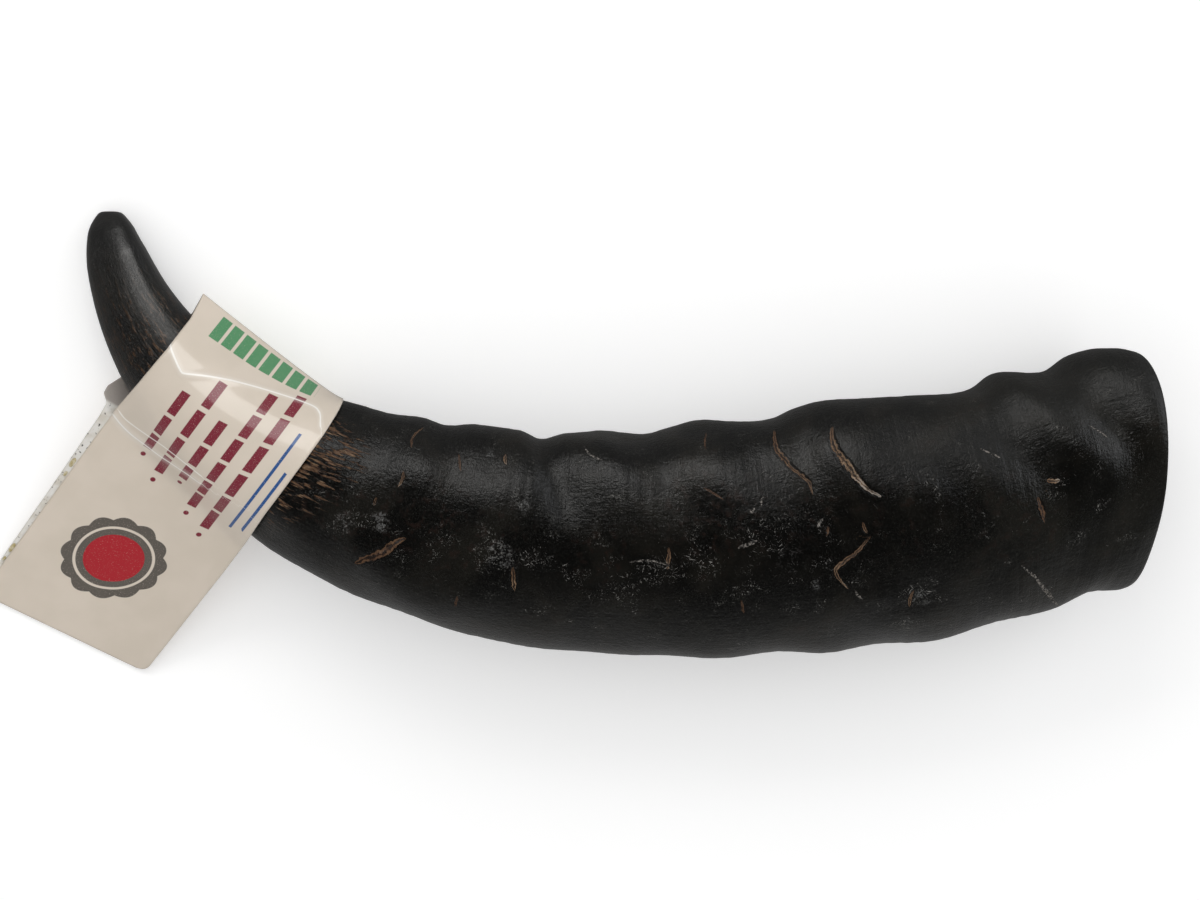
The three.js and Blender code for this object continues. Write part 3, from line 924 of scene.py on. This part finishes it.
class Finish(Nodes):
    """A material, its patterns and its surface."""

    def __init__(self, name):
        super().__init__(bpy.data.materials.get(name) or bpy.data.materials.new(name))

    def attribute(self, name):
        """A stored vector, whole and as its three numbers."""
        whole = self.node("ShaderNodeAttribute", {"attribute_name": name}, output="Vector")
        return whole, *self.split(whole)

    def noise(self, vector, scale, detail=2.0, roughness=0.5, distortion=0.0):
        numbers = {"Scale": scale, "Detail": detail, "Roughness": roughness, "Distortion": distortion}
        return self.node("ShaderNodeTexNoise", values={"Vector": vector, **numbers})

    def grain(self, vector, size, *numbers, turn=(0, 0, 0), scale=1.0):
        """Noise with grains of a given size each way, turned by some degrees about each axis."""
        turned = tuple(math.radians(degrees) for degrees in turn)
        values = {"Vector": vector, "Rotation": turned, "Scale": size}
        return self.noise(self.node("ShaderNodeMapping", {"vector_type": "TEXTURE"}, values), scale, *numbers)

    def layered(self, colour, *layers):
        """A colour with others over it; each layer is how much it covers, and its colour."""
        for share, over in layers:
            values = {"Factor_Float": share, "A_Color": colour, "B_Color": over}
            colour = self.node("ShaderNodeMix", {"data_type": "RGBA"}, values, "Result_Color")
        return colour

    def surface(self, bump=(), **values):
        """The Principled shader, with bumps given as pairs of height and depth in metres."""
        sockets = {name.replace("_", " "): value for name, value in values.items()}
        for height, depth in bump:
            relief = {"Height": height, "Distance": depth, "Strength": 1.0}
            if "Normal" in sockets:
                relief["Normal"] = sockets["Normal"]
            sockets["Normal"] = self.node("ShaderNodeBump", values=relief)
        shader = self.node("ShaderNodeBsdfPrincipled", values=sockets)
        self.node("ShaderNodeOutputMaterial", values={"Surface": shader})
        return self.owner


# %% [markdown]
# ## Black keratin
# Worn horn is nearly black with a soft polish.  Close to, it is made of fine layers: hair-thin lines run
# round it, grain runs along it, and everywhere there are pale nicks and grey rubbed patches.  All the
# patterns read the stored straight coordinates, so they bend with the horn.

# %% The horn's colours
DARK_HORN = (0.0013, 0.0012, 0.0010, 1)
BROWN_HORN = (0.0066, 0.0058, 0.0043, 1)
DEEP_BROWN = (0.0150, 0.0070, 0.0048, 1)
DUSTY_HORN = (0.021, 0.0212, 0.0175, 1)
GREY_RUB = (0.120, 0.121, 0.118, 1)
PALE_NICK = (0.27, 0.26, 0.24, 1)
BROWN = (0.060, 0.024, 0.0095, 1)
TAN = (0.105, 0.052, 0.022, 1)
PALE_TAN = (0.205, 0.130, 0.072, 1)
CHALK = (0.30, 0.27, 0.24, 1)
# The black used for painted shadow in the cracks and under lifted fibres.
PAINTED_SHADOW_BLACK = (0.0012, 0.0010, 0.0008, 1)
SAWN_HORN = (0.030, 0.025, 0.021, 1)
HOLLOW_HORN = (0.040, 0.028, 0.019, 1)

# %% The keratin finish
keratin = Finish("keratin")
straight, run_along, to_side, _ = keratin.attribute("straight")
_, gap, half, paleness = keratin.attribute("crack")
_, scuffed, fibrous, inside = keratin.attribute("patch")
_, worn, ruddy, painted_dark = keratin.attribute("wear_and_painted_dark")
# Dust and grit are left off where dark reflections are painted, so the horn is painted blacker there.
outside_painted_dark = 1 - painted_dark * 0.85

clouds = keratin.noise(straight, 0.055, 4, 0.55, 0.4)
mottle = keratin.noise(straight, 0.42, 5, 0.6)
speckle = keratin.noise(straight, 2.1, 3, 0.6)
pits = keratin.noise(straight, 1.05, 2.5, 0.62)
long_grain = keratin.grain(straight, (14, 0.9, 0.9), 5, 0.6)
round_lines = keratin.grain(straight, (0.85, 16, 16), 4, 0.65)
broad_lines = keratin.grain(straight, (2.2, 40, 40), 3, 0.5)

# %% Nicks, scratches and rubbed patches
NICK_TURNS = (-62, -18, 33, 74)
NICK_SIZE = (2.6, 0.34, 0.8)
clusters = keratin.noise(straight, 0.13, 3, 0.6)
marked = (clusters + worn * 0.09 + scuffed * 0.20).rises(0.57, 0.74)
nick_fields = [
    keratin.grain(straight, NICK_SIZE, 1.5, 0.5, 0.35, turn=(0, 0, turned), scale=0.8 + 0.17 * number)
    for number, turned in enumerate(NICK_TURNS)
]
nicks = largest([(field + marked * 0.05).rises(0.745, 0.785) for field in nick_fields])
nicks = nicks * (marked * 0.9 + 0.1) * speckle.rises(0.36, 0.52)
scribble = abs(keratin.noise(straight, 0.5, 2, 0.55, 1.2) - 0.5).rises(0.016, 0.005) * marked
nicks = nicks.larger(scribble * speckle.rises(0.50, 0.62))
fleck = (speckle + marked * 0.06).rises(0.71, 0.78)
rubbed = (scuffed * mottle.rises(0.36, 0.60)).rises(0.38, 0.95) * speckle.rises(0.42, 0.62)
dusty = speckle.rises(0.46, 0.68) * (marked * 0.7 + clouds.rises(0.45, 0.7) * 0.3)
dusty = dusty + run_along.rises(262, 316) * 0.6
brown_patch = mottle.rises(0.50, 0.68) * (ruddy + clouds.rises(0.52, 0.7) * 0.5).smaller(1.0)
grit = keratin.noise(straight, 1.9, 5, 0.78)
horn_colour = keratin.layered(
    DARK_HORN,
    (clouds.rises(0.42, 0.68), BROWN_HORN),
    (brown_patch * 0.7, DEEP_BROWN),
    (grit.rises(0.51, 0.66) * outside_painted_dark * 0.62, DUSTY_HORN),
    (dusty * outside_painted_dark * 0.24, DUSTY_HORN),
    (rubbed * 0.8, GREY_RUB),
    ((nicks * 0.75).larger(fleck * 0.5), PALE_NICK),
)

# %% Fibres and the tip's streaks
fibre_tone = keratin.grain(straight, (5.0, 0.4, 0.4), 2, 0.6)
fibre_field = keratin.grain(straight, (8.0, 0.75, 0.75), 2.5, 0.55, 0.25) + fibrous * 0.16
fibre_lift = fibre_field.rises(0.60, 0.68) * fibrous.rises(0.08, 0.30)
fibre_shade = fibre_field.rises(0.50, 0.60) * fibrous.rises(0.10, 0.40)
fibre_colour = keratin.layered(
    BROWN, (fibre_tone.rises(0.38, 0.52), TAN), (fibre_tone.rises(0.54, 0.70), PALE_TAN)
)
tip_lines = keratin.grain(straight, (20, 0.62, 0.62), 3, 0.62, turn=(0, 0, 2))
near_tip = run_along.rises(66, 50) * run_along.rises(6, 24)
tip_share = tip_lines.rises(0.56, 0.64) * near_tip * run_along.rises(14, 44) * pits.rises(0.36, 0.5)
tip_grooves = tip_lines.rises(0.50, 0.40) * near_tip
horn_colour = keratin.layered(
    horn_colour,
    (fibre_shade, PAINTED_SHADOW_BLACK),
    (fibre_lift * fibre_tone.rises(0.25, 0.5), fibre_colour),
    (tip_share * 0.6, TAN),
)

# %% The cracks' colours
# Black is painted beside each lip, in a ring round each crack and in streaks inside it: painted shadow of the
# lip and the split.
wander = (keratin.noise(straight, 0.9, 4, 0.65) - 0.5) * 2.8 + (keratin.noise(straight, 0.22, 1) - 0.5) * 2.2
ragged = keratin.noise(straight, 1.7, 4, 0.7)
across_crack = gap / half.larger(0.02) + wander
streak_place = keratin.node(
    "ShaderNodeCombineXYZ", values={0: across_crack * 1.5, 1: run_along * 0.4, 2: to_side * 0.4}
)
streaks = keratin.noise(streak_place, 1.0, 3, 0.7)
chalky = paleness.rises(1.4, 1.6)
in_crack = abs(across_crack).rises(1.3, 1.0) * half.rises(0.05, 0.15)
crack_rim = abs(abs(across_crack) - 0.8).rises(0.55, 0.2)
crack_shadow_streak = (streaks + crack_rim * 0.17).rises(0.62, 0.54)
outline = abs(across_crack).rises(2.3, 1.5) * half.rises(0.15, 0.35) * 0.7
lip_shadow = abs(across_crack - 1.5).rises(0.75, 0.35) * half.rises(0.15, 0.35)
gap_and_painted_shadow = lip_shadow.larger(outline) * (1 - chalky)
crack_tone = streaks * 0.9 + ragged * 0.4 + crack_rim * 0.34 + paleness * 0.5
crack_colour = keratin.layered(
    BROWN,
    (crack_tone.rises(0.88, 1.18), TAN),
    (crack_tone.rises(1.16, 1.46), PALE_TAN),
    (crack_tone.rises(1.42, 1.62), CHALK),
    (crack_shadow_streak * 0.85, PAINTED_SHADOW_BLACK),
)
horn_colour = keratin.layered(
    horn_colour,
    (gap_and_painted_shadow, PAINTED_SHADOW_BLACK),
    (in_crack * (1 - chalky) * ragged.rises(0.28, 0.42), crack_colour),
    (in_crack * chalky * ragged.rises(0.46, 0.58) * 0.6, CHALK),
)

# %% Sawn rim and hollow
saw_marks = keratin.grain(straight, (3.3, 2.9, 0.31), 3, 0.6, turn=(18, 0, 0))
on_rim = inside.rises(0.02, 0.16) * inside.rises(1.0, 0.97)
in_hollow = inside.rises(0.97, 1.0)
sawn_colour = keratin.layered(DARK_HORN, (saw_marks.rises(0.35, 0.7), SAWN_HORN))
hollow_colour = keratin.layered(BROWN_HORN, ((long_grain * mottle * 2).rises(0.35, 0.75), HOLLOW_HORN))
horn_colour = keratin.layered(horn_colour, (on_rim, sawn_colour), (in_hollow, hollow_colour))

# %% Polish and fine relief
rough_spots = largest([rubbed, nicks, fibre_lift, in_crack, tip_grooves * 0.5])
dull = run_along.rises(64, 30) * 0.10 + run_along.rises(20, 90) * 0.03
dull = dull + run_along.rises(235, 290) * to_side.rises(4, 18) * 0.13
roughness = 0.17 + mottle * 0.12 + speckle * 0.08 + dull - painted_dark * 0.11 + rough_spots * 0.25 + inside * 0.2
coarse_height = broad_lines * 0.24 + clouds
fine_height = round_lines * 0.42 + long_grain * 0.28 + mottle * 0.36 + pits * 0.42 + speckle * 0.16
fine_height = fine_height + tip_lines * near_tip * 0.9
edge_height = fibre_lift * 0.7 - nicks * 0.35 - gap_and_painted_shadow * 0.9 - tip_grooves * 0.7
edge_height = edge_height + saw_marks * on_rim * 0.6 + in_hollow * long_grain
keratin_material = keratin.surface(
    bump=((coarse_height, 0.5 * MM), (fine_height, 0.34 * MM), (edge_height, 0.25 * MM)),
    Base_Color=horn_colour,
    Roughness=roughness,
    IOR=1.54,
    Coat_Weight=run_along.rises(80, 12),
    Coat_Roughness=0.29,
)
horn.data.materials.append(keratin_material)
print("keratin has", len(keratin.tree.nodes), "nodes")

# %% [markdown]
# ## The printed, laminated side
# The paper is off-white under a clear glossy film.  The print is plain: green blocks by the fold, rows of
# maroon bars that end in a dot, two blue rules, and a grey scalloped rosette with a red disc.  It is drawn
# with arithmetic on the flat strip's millimetres, so it stays sharp at any size and wraps over the fold.

# %% The print's colours and layout
PAPER = (0.70, 0.615, 0.52, 1)
PAPER_SHADE = (0.66, 0.58, 0.485, 1)
GREEN = (0.085, 0.28, 0.125, 1)
MAROON = (0.205, 0.014, 0.032, 1)
BLUE = (0.006, 0.075, 0.27, 1)
ROSETTE_GREY = (0.115, 0.10, 0.085, 1)
ROSETTE_RED = (0.42, 0.008, 0.018, 1)
PAINTED_CREASE_HIGHLIGHT = (0.93, 0.90, 0.85, 1)
SHARP = 0.09                # softness of a printed edge, mm

BAR_ROWS = (  # across, start, end, how many bars
    (14.0, 29, 56, 3), (20.6, 21, 62, 4), (27.2, 31, 58, 3), (33.8, 17, 67, 6), (40.4, 13, 72, 6),
)
BAR_HALF = 1.35
BAR_GAP = 0.14
DOT_RADIUS = 0.75
DOT_GAP = 2.2               # from a row's end to the middle of its dot
RULES = ((46.0, 26, 66), (49.2, 36, 62))
RULE_HALF = 0.42
GREEN_BAND = (9, 43, 3.0, 11.5)      # from and to, across and then along
GREEN_PITCH = 4.25
GREEN_EDGES = (0.11, 0.89)  # the part of each pitch that is printed
ROSETTE_PLACE = (25.0, 93.0)
ROSETTE_RADIUS = 13.1       # to the roots of its scallops
SCALLOPS = 12
SCALLOP_DEPTH = 1.3
DISC_RADIUS = 8.2
RING_INNER = 10.2
RING_OUTER = 11.0

# %% Shapes drawn with arithmetic
laminate = Finish("label_printed")
flat_place, across, along_signed, _ = laminate.attribute("flat")
_, crest, valley, valley_inner = laminate.attribute("crease")
along = abs(along_signed)
front = along_signed.rises(-0.2, 0.2)


def within(value, low, high, soft=SHARP):
    """1 between two limits, with soft edges."""
    middle = (low + high) / 2
    half_span = (high - low) / 2
    return abs(value - middle).rises(half_span + soft, half_span - soft)


def below(value, limit):
    return value.rises(limit + SHARP, limit - SHARP)


def gaps_from(place):
    """How far from a place, across the label, along it and straight."""
    across_gap = across - place[0]
    along_gap = along - place[1]
    return across_gap, along_gap, (across_gap * across_gap + along_gap * along_gap) ** 0.5


def bar_row(row, start, end, count):
    """A row of bars across the given stretch, and the dot past its end."""
    cell = ((along - start) / ((end - start) / count)).fraction()
    gaps = within(cell, BAR_GAP / 2, 1 - BAR_GAP / 2, 0.012)
    bar = within(across, row - BAR_HALF, row + BAR_HALF) * within(along, start, end) * gaps
    return bar.larger(below(gaps_from((row, end + DOT_GAP))[2], DOT_RADIUS))


def rule(row, start, end):
    return within(across, row - RULE_HALF, row + RULE_HALF) * within(along, start, end)


bars = largest([bar_row(*row) for row in BAR_ROWS])
rules = largest([rule(*row) for row in RULES])

# %% Green blocks and the rosette
low, high, near, far = GREEN_BAND
green_cell = within((across / GREEN_PITCH).fraction(), *GREEN_EDGES, 0.02)
green = within(across, low, high) * within(along, near, far) * green_cell
across_gap, along_gap, away = gaps_from(ROSETTE_PLACE)
scallop = abs((across_gap.bearing(along_gap) * (SCALLOPS / 2)).sine())
petals = below(away - scallop * SCALLOP_DEPTH, ROSETTE_RADIUS)
disc = below(away, DISC_RADIUS)
paper_ring = within(away, RING_INNER, RING_OUTER)
print("rosette is", 2 * (ROSETTE_RADIUS + SCALLOP_DEPTH), "mm across")

# %% Put the print on the paper
paper_tone = laminate.noise(flat_place, 0.06, 3)
fade = laminate.noise(flat_place, 3.0, 4, 0.7).rises(0.30, 0.42)
# The white lines along the creases and the faint glow beside them are painted highlights.
crest_highlight = abs(crest).rises(0.42, 0.14)
valley_highlight = abs(valley).rises(0.44, 0.14).larger(abs(valley_inner).rises(0.38, 0.12) * 0.85)
crease_highlight_glow = abs(crest).rises(1.6, 0.2).larger(abs(valley).rises(2.4, 0.3)) * 0.25
label_colour = laminate.layered(
    PAPER,
    (paper_tone.rises(0.35, 0.65), PAPER_SHADE),
    (petals * fade, ROSETTE_GREY),
    (paper_ring, PAPER),
    (disc * fade, ROSETTE_RED),
    (green * fade, GREEN),
    (bars * fade, MAROON),
    (rules * fade, BLUE),
    (largest([crest_highlight, valley_highlight, crease_highlight_glow]) * front * 0.9, PAINTED_CREASE_HIGHLIGHT),
)

# %% Film over the print
film_waves = laminate.noise(flat_place, 0.045, 2)
film_grain = laminate.noise(flat_place, 0.9, 3)
laminate.surface(
    bump=((film_waves, 1.0 * MM), (film_grain, 0.012 * MM)),
    Base_Color=label_colour,
    Roughness=0.38 + film_grain * 0.12,
    Coat_Weight=0.8,
    Coat_Roughness=0.09,
)
print("the printed side has", len(laminate.tree.nodes), "nodes")

# %% [markdown]
# ## Adhesive, cut edge and glue
# Inside, the paper carries a white adhesive that has picked up dark specks.  The cut edge shows bare paper
# and clear film.  The beads of spare glue have gone yellow.

# %% The label's other finishes
# Up to this run from the fold, the back's flap is painted grey instead of adhesive white: painted shade.
SHADED_FLAP_END = 49            # run from the fold to where the adhesive begins
ADHESIVE_WHITE = (0.74, 0.72, 0.68, 1)
ADHESIVE_STAIN = (0.60, 0.56, 0.49, 1)
SPECK = (0.03, 0.028, 0.026, 1)
SHADED_FLAP_GREY = (0.40, 0.36, 0.33, 1)
EDGE_PAPER = (0.66, 0.60, 0.52, 1)
EDGE_FILM = (0.78, 0.74, 0.68, 1)
GLUE_YELLOW = (0.42, 0.34, 0.16, 1)
GLUE_PALE = (0.62, 0.56, 0.40, 1)

adhesive = Finish("label_adhesive")
inner_place, _, inner_along, _ = adhesive.attribute("flat")
specks = adhesive.noise(inner_place, 1.0, 2, 0.5)
stain = adhesive.noise(inner_place, 0.25, 3)
# The last layer paints the flap near the fold a darker grey: painted shade, not bare paper.
adhesive_colour = adhesive.layered(
    ADHESIVE_WHITE,
    (stain.rises(0.4, 0.7), ADHESIVE_STAIN),
    (specks.rises(0.635, 0.665), SPECK),
    (abs(inner_along).rises(SHADED_FLAP_END + 0.5, SHADED_FLAP_END - 0.5), SHADED_FLAP_GREY),
)
adhesive.surface(bump=((specks, 0.1 * MM),), Base_Color=adhesive_colour, Roughness=0.45 + stain * 0.2)

cut_edge = Finish("label_edge")
edge_grain = cut_edge.noise(cut_edge.attribute("flat")[0], 1.2, 3)
edge_colour = cut_edge.layered(EDGE_PAPER, (edge_grain, EDGE_FILM))
cut_edge.surface(Base_Color=edge_colour, Roughness=0.35 + edge_grain * 0.1)

glue_finish = Finish("dried_glue")
glue_tone = glue_finish.noise(glue_finish.node("ShaderNodeTexCoord", output="Object"), 900, 3)
glue_colour = glue_finish.layered(GLUE_YELLOW, (glue_tone.rises(0.35, 0.65), GLUE_PALE))
glue_material = glue_finish.surface(
    bump=((glue_tone, 0.2 * MM),), Base_Color=glue_colour, Roughness=0.25 + glue_tone * 0.2
)
glue_beads.data.materials.append(glue_material)
print("label slots:", [material.name for material in label.data.materials])

# %% [markdown]
# ## Surface and light
# The horn lies on a white table in soft studio light.  A softbox on the side of the bend's inside draws the
# long sheen along the horn, and a cooler one beyond the base catches the rings and the tip.  A wide one
# overhead lights the table only, since its reflection is off, and the room is dark overhead too, which keeps
# black horn black.  The table glows a little, and more far away, so that it stays white to the horizon.

# %% The table
TABLE_SIZE = 9.0
TABLE_HEIGHT = -0.0001
WHITE = (0.88, 0.88, 0.88, 1)
TABLE_SHADE = (0.86, 0.86, 0.86, 1)
NEAR_GLOW = (0.24, 0.24, 0.24, 1)
GLOW_GROWS = (0.7, 3.4)       # metres from the middle

table = bmesh.new()
bmesh.ops.create_grid(table, x_segments=1, y_segments=1, size=TABLE_SIZE / 2)
bmesh.ops.translate(table, verts=table.verts, vec=(0, 0, TABLE_HEIGHT))
table_mesh = bpy.data.meshes.new("table")
table.to_mesh(table_mesh)
table.free()
floor = add_piece("table", table_mesh)
floor.visible_glossy = False

table_finish = Finish("table")
table_place = table_finish.node("ShaderNodeTexCoord", output="Object")
table_colour = table_finish.layered(TABLE_SHADE, (table_finish.noise(table_place, 3.0, 2), WHITE))
away = table_finish.node("ShaderNodeVectorMath", {"operation": "LENGTH"}, {0: table_place}, "Value")
table_glow = table_finish.layered(NEAR_GLOW, (away.rises(*GLOW_GROWS), WHITE))
table_material = table_finish.surface(
    Base_Color=table_colour, Roughness=0.7, Emission_Color=table_glow, Emission_Strength=1.0
)
floor.data.materials.append(table_material)
print("the table is", TABLE_SIZE, "m wide")


# %% Softboxes
def softbox(name, place, aim, size, brightness, colour):
    """An area light of a given brightness per area, turned to a point."""
    light = bpy.data.lights.new(name, "AREA")
    light.shape = "RECTANGLE"
    light.size, light.size_y = size
    light.energy = brightness * math.pi * size[0] * size[1]
    light.color = colour
    lamp = bpy.data.objects.new(name, light)
    lamp.location = place
    lamp.rotation_euler = (Vector(aim) - Vector(place)).to_track_quat("-Z", "Y").to_euler()
    lamp.visible_camera = False
    bpy.context.scene.collection.objects.link(lamp)
    return lamp


softbox("side_softbox", (-0.27, 0.85, 0.74), (-0.05, 0, 0.02), (0.80, 0.40), 3.3, (1.0, 0.99, 0.97))
softbox("base_softbox", (0.98, 0.58, 0.34), (0.0, 0, 0.02), (0.8, 0.6), 1.5, (0.95, 0.97, 1.0))
top = softbox("top_softbox", (0.0, -0.1, 1.6), (0, 0, 0), (4.4, 4.4), 1.02, (1.0, 1.0, 1.0))
top.visible_glossy = False

# %% The room: bright walls, dark overhead
OVERHEAD = 0.024
LOW_WALLS = 0.15
NEAR_SIDE_GAIN = 2.3
BACKDROP = 0.93             # what the camera itself sees beyond the table
ROOM_WHITE = (1.0, 0.995, 0.985, 1)

world = bpy.data.worlds.new("room")
bpy.context.scene.world = world
room = Nodes(world)
_, towards_y, upward = room.split(room.node("ShaderNodeTexCoord", output="Generated"))
walls = upward.rises(0.75, -0.2) * (LOW_WALLS - OVERHEAD) + OVERHEAD
walls = walls * (towards_y.rises(0.0, -0.6) * (NEAR_SIDE_GAIN - 1) + 1)
seen = room.node("ShaderNodeLightPath", output="Is Camera Ray")
levels = {"Factor_Float": seen, "A_Float": walls, "B_Float": BACKDROP}
strength = room.node("ShaderNodeMix", {"data_type": "FLOAT"}, levels, "Result_Float")
sky = room.node("ShaderNodeBackground", values={"Color": ROOM_WHITE, "Strength": strength})
room.node("ShaderNodeOutputWorld", values={"Surface": sky})
bpy.context.scene.view_settings.view_transform = "Standard"
print("the room has", len(room.tree.nodes), "nodes")

# %% [markdown]
# ## Hand the pieces over
# Each piece rides on the part's one body and stands for the node it replaces, which is hidden.

# %% Ride and replace
for piece, node, slot in (
    (horn, "horn", "keratin"),
    (label, "label", "laminate"),
    (glue_beads, "label", "laminate"),
):
    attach(piece, "root")
    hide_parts(node)
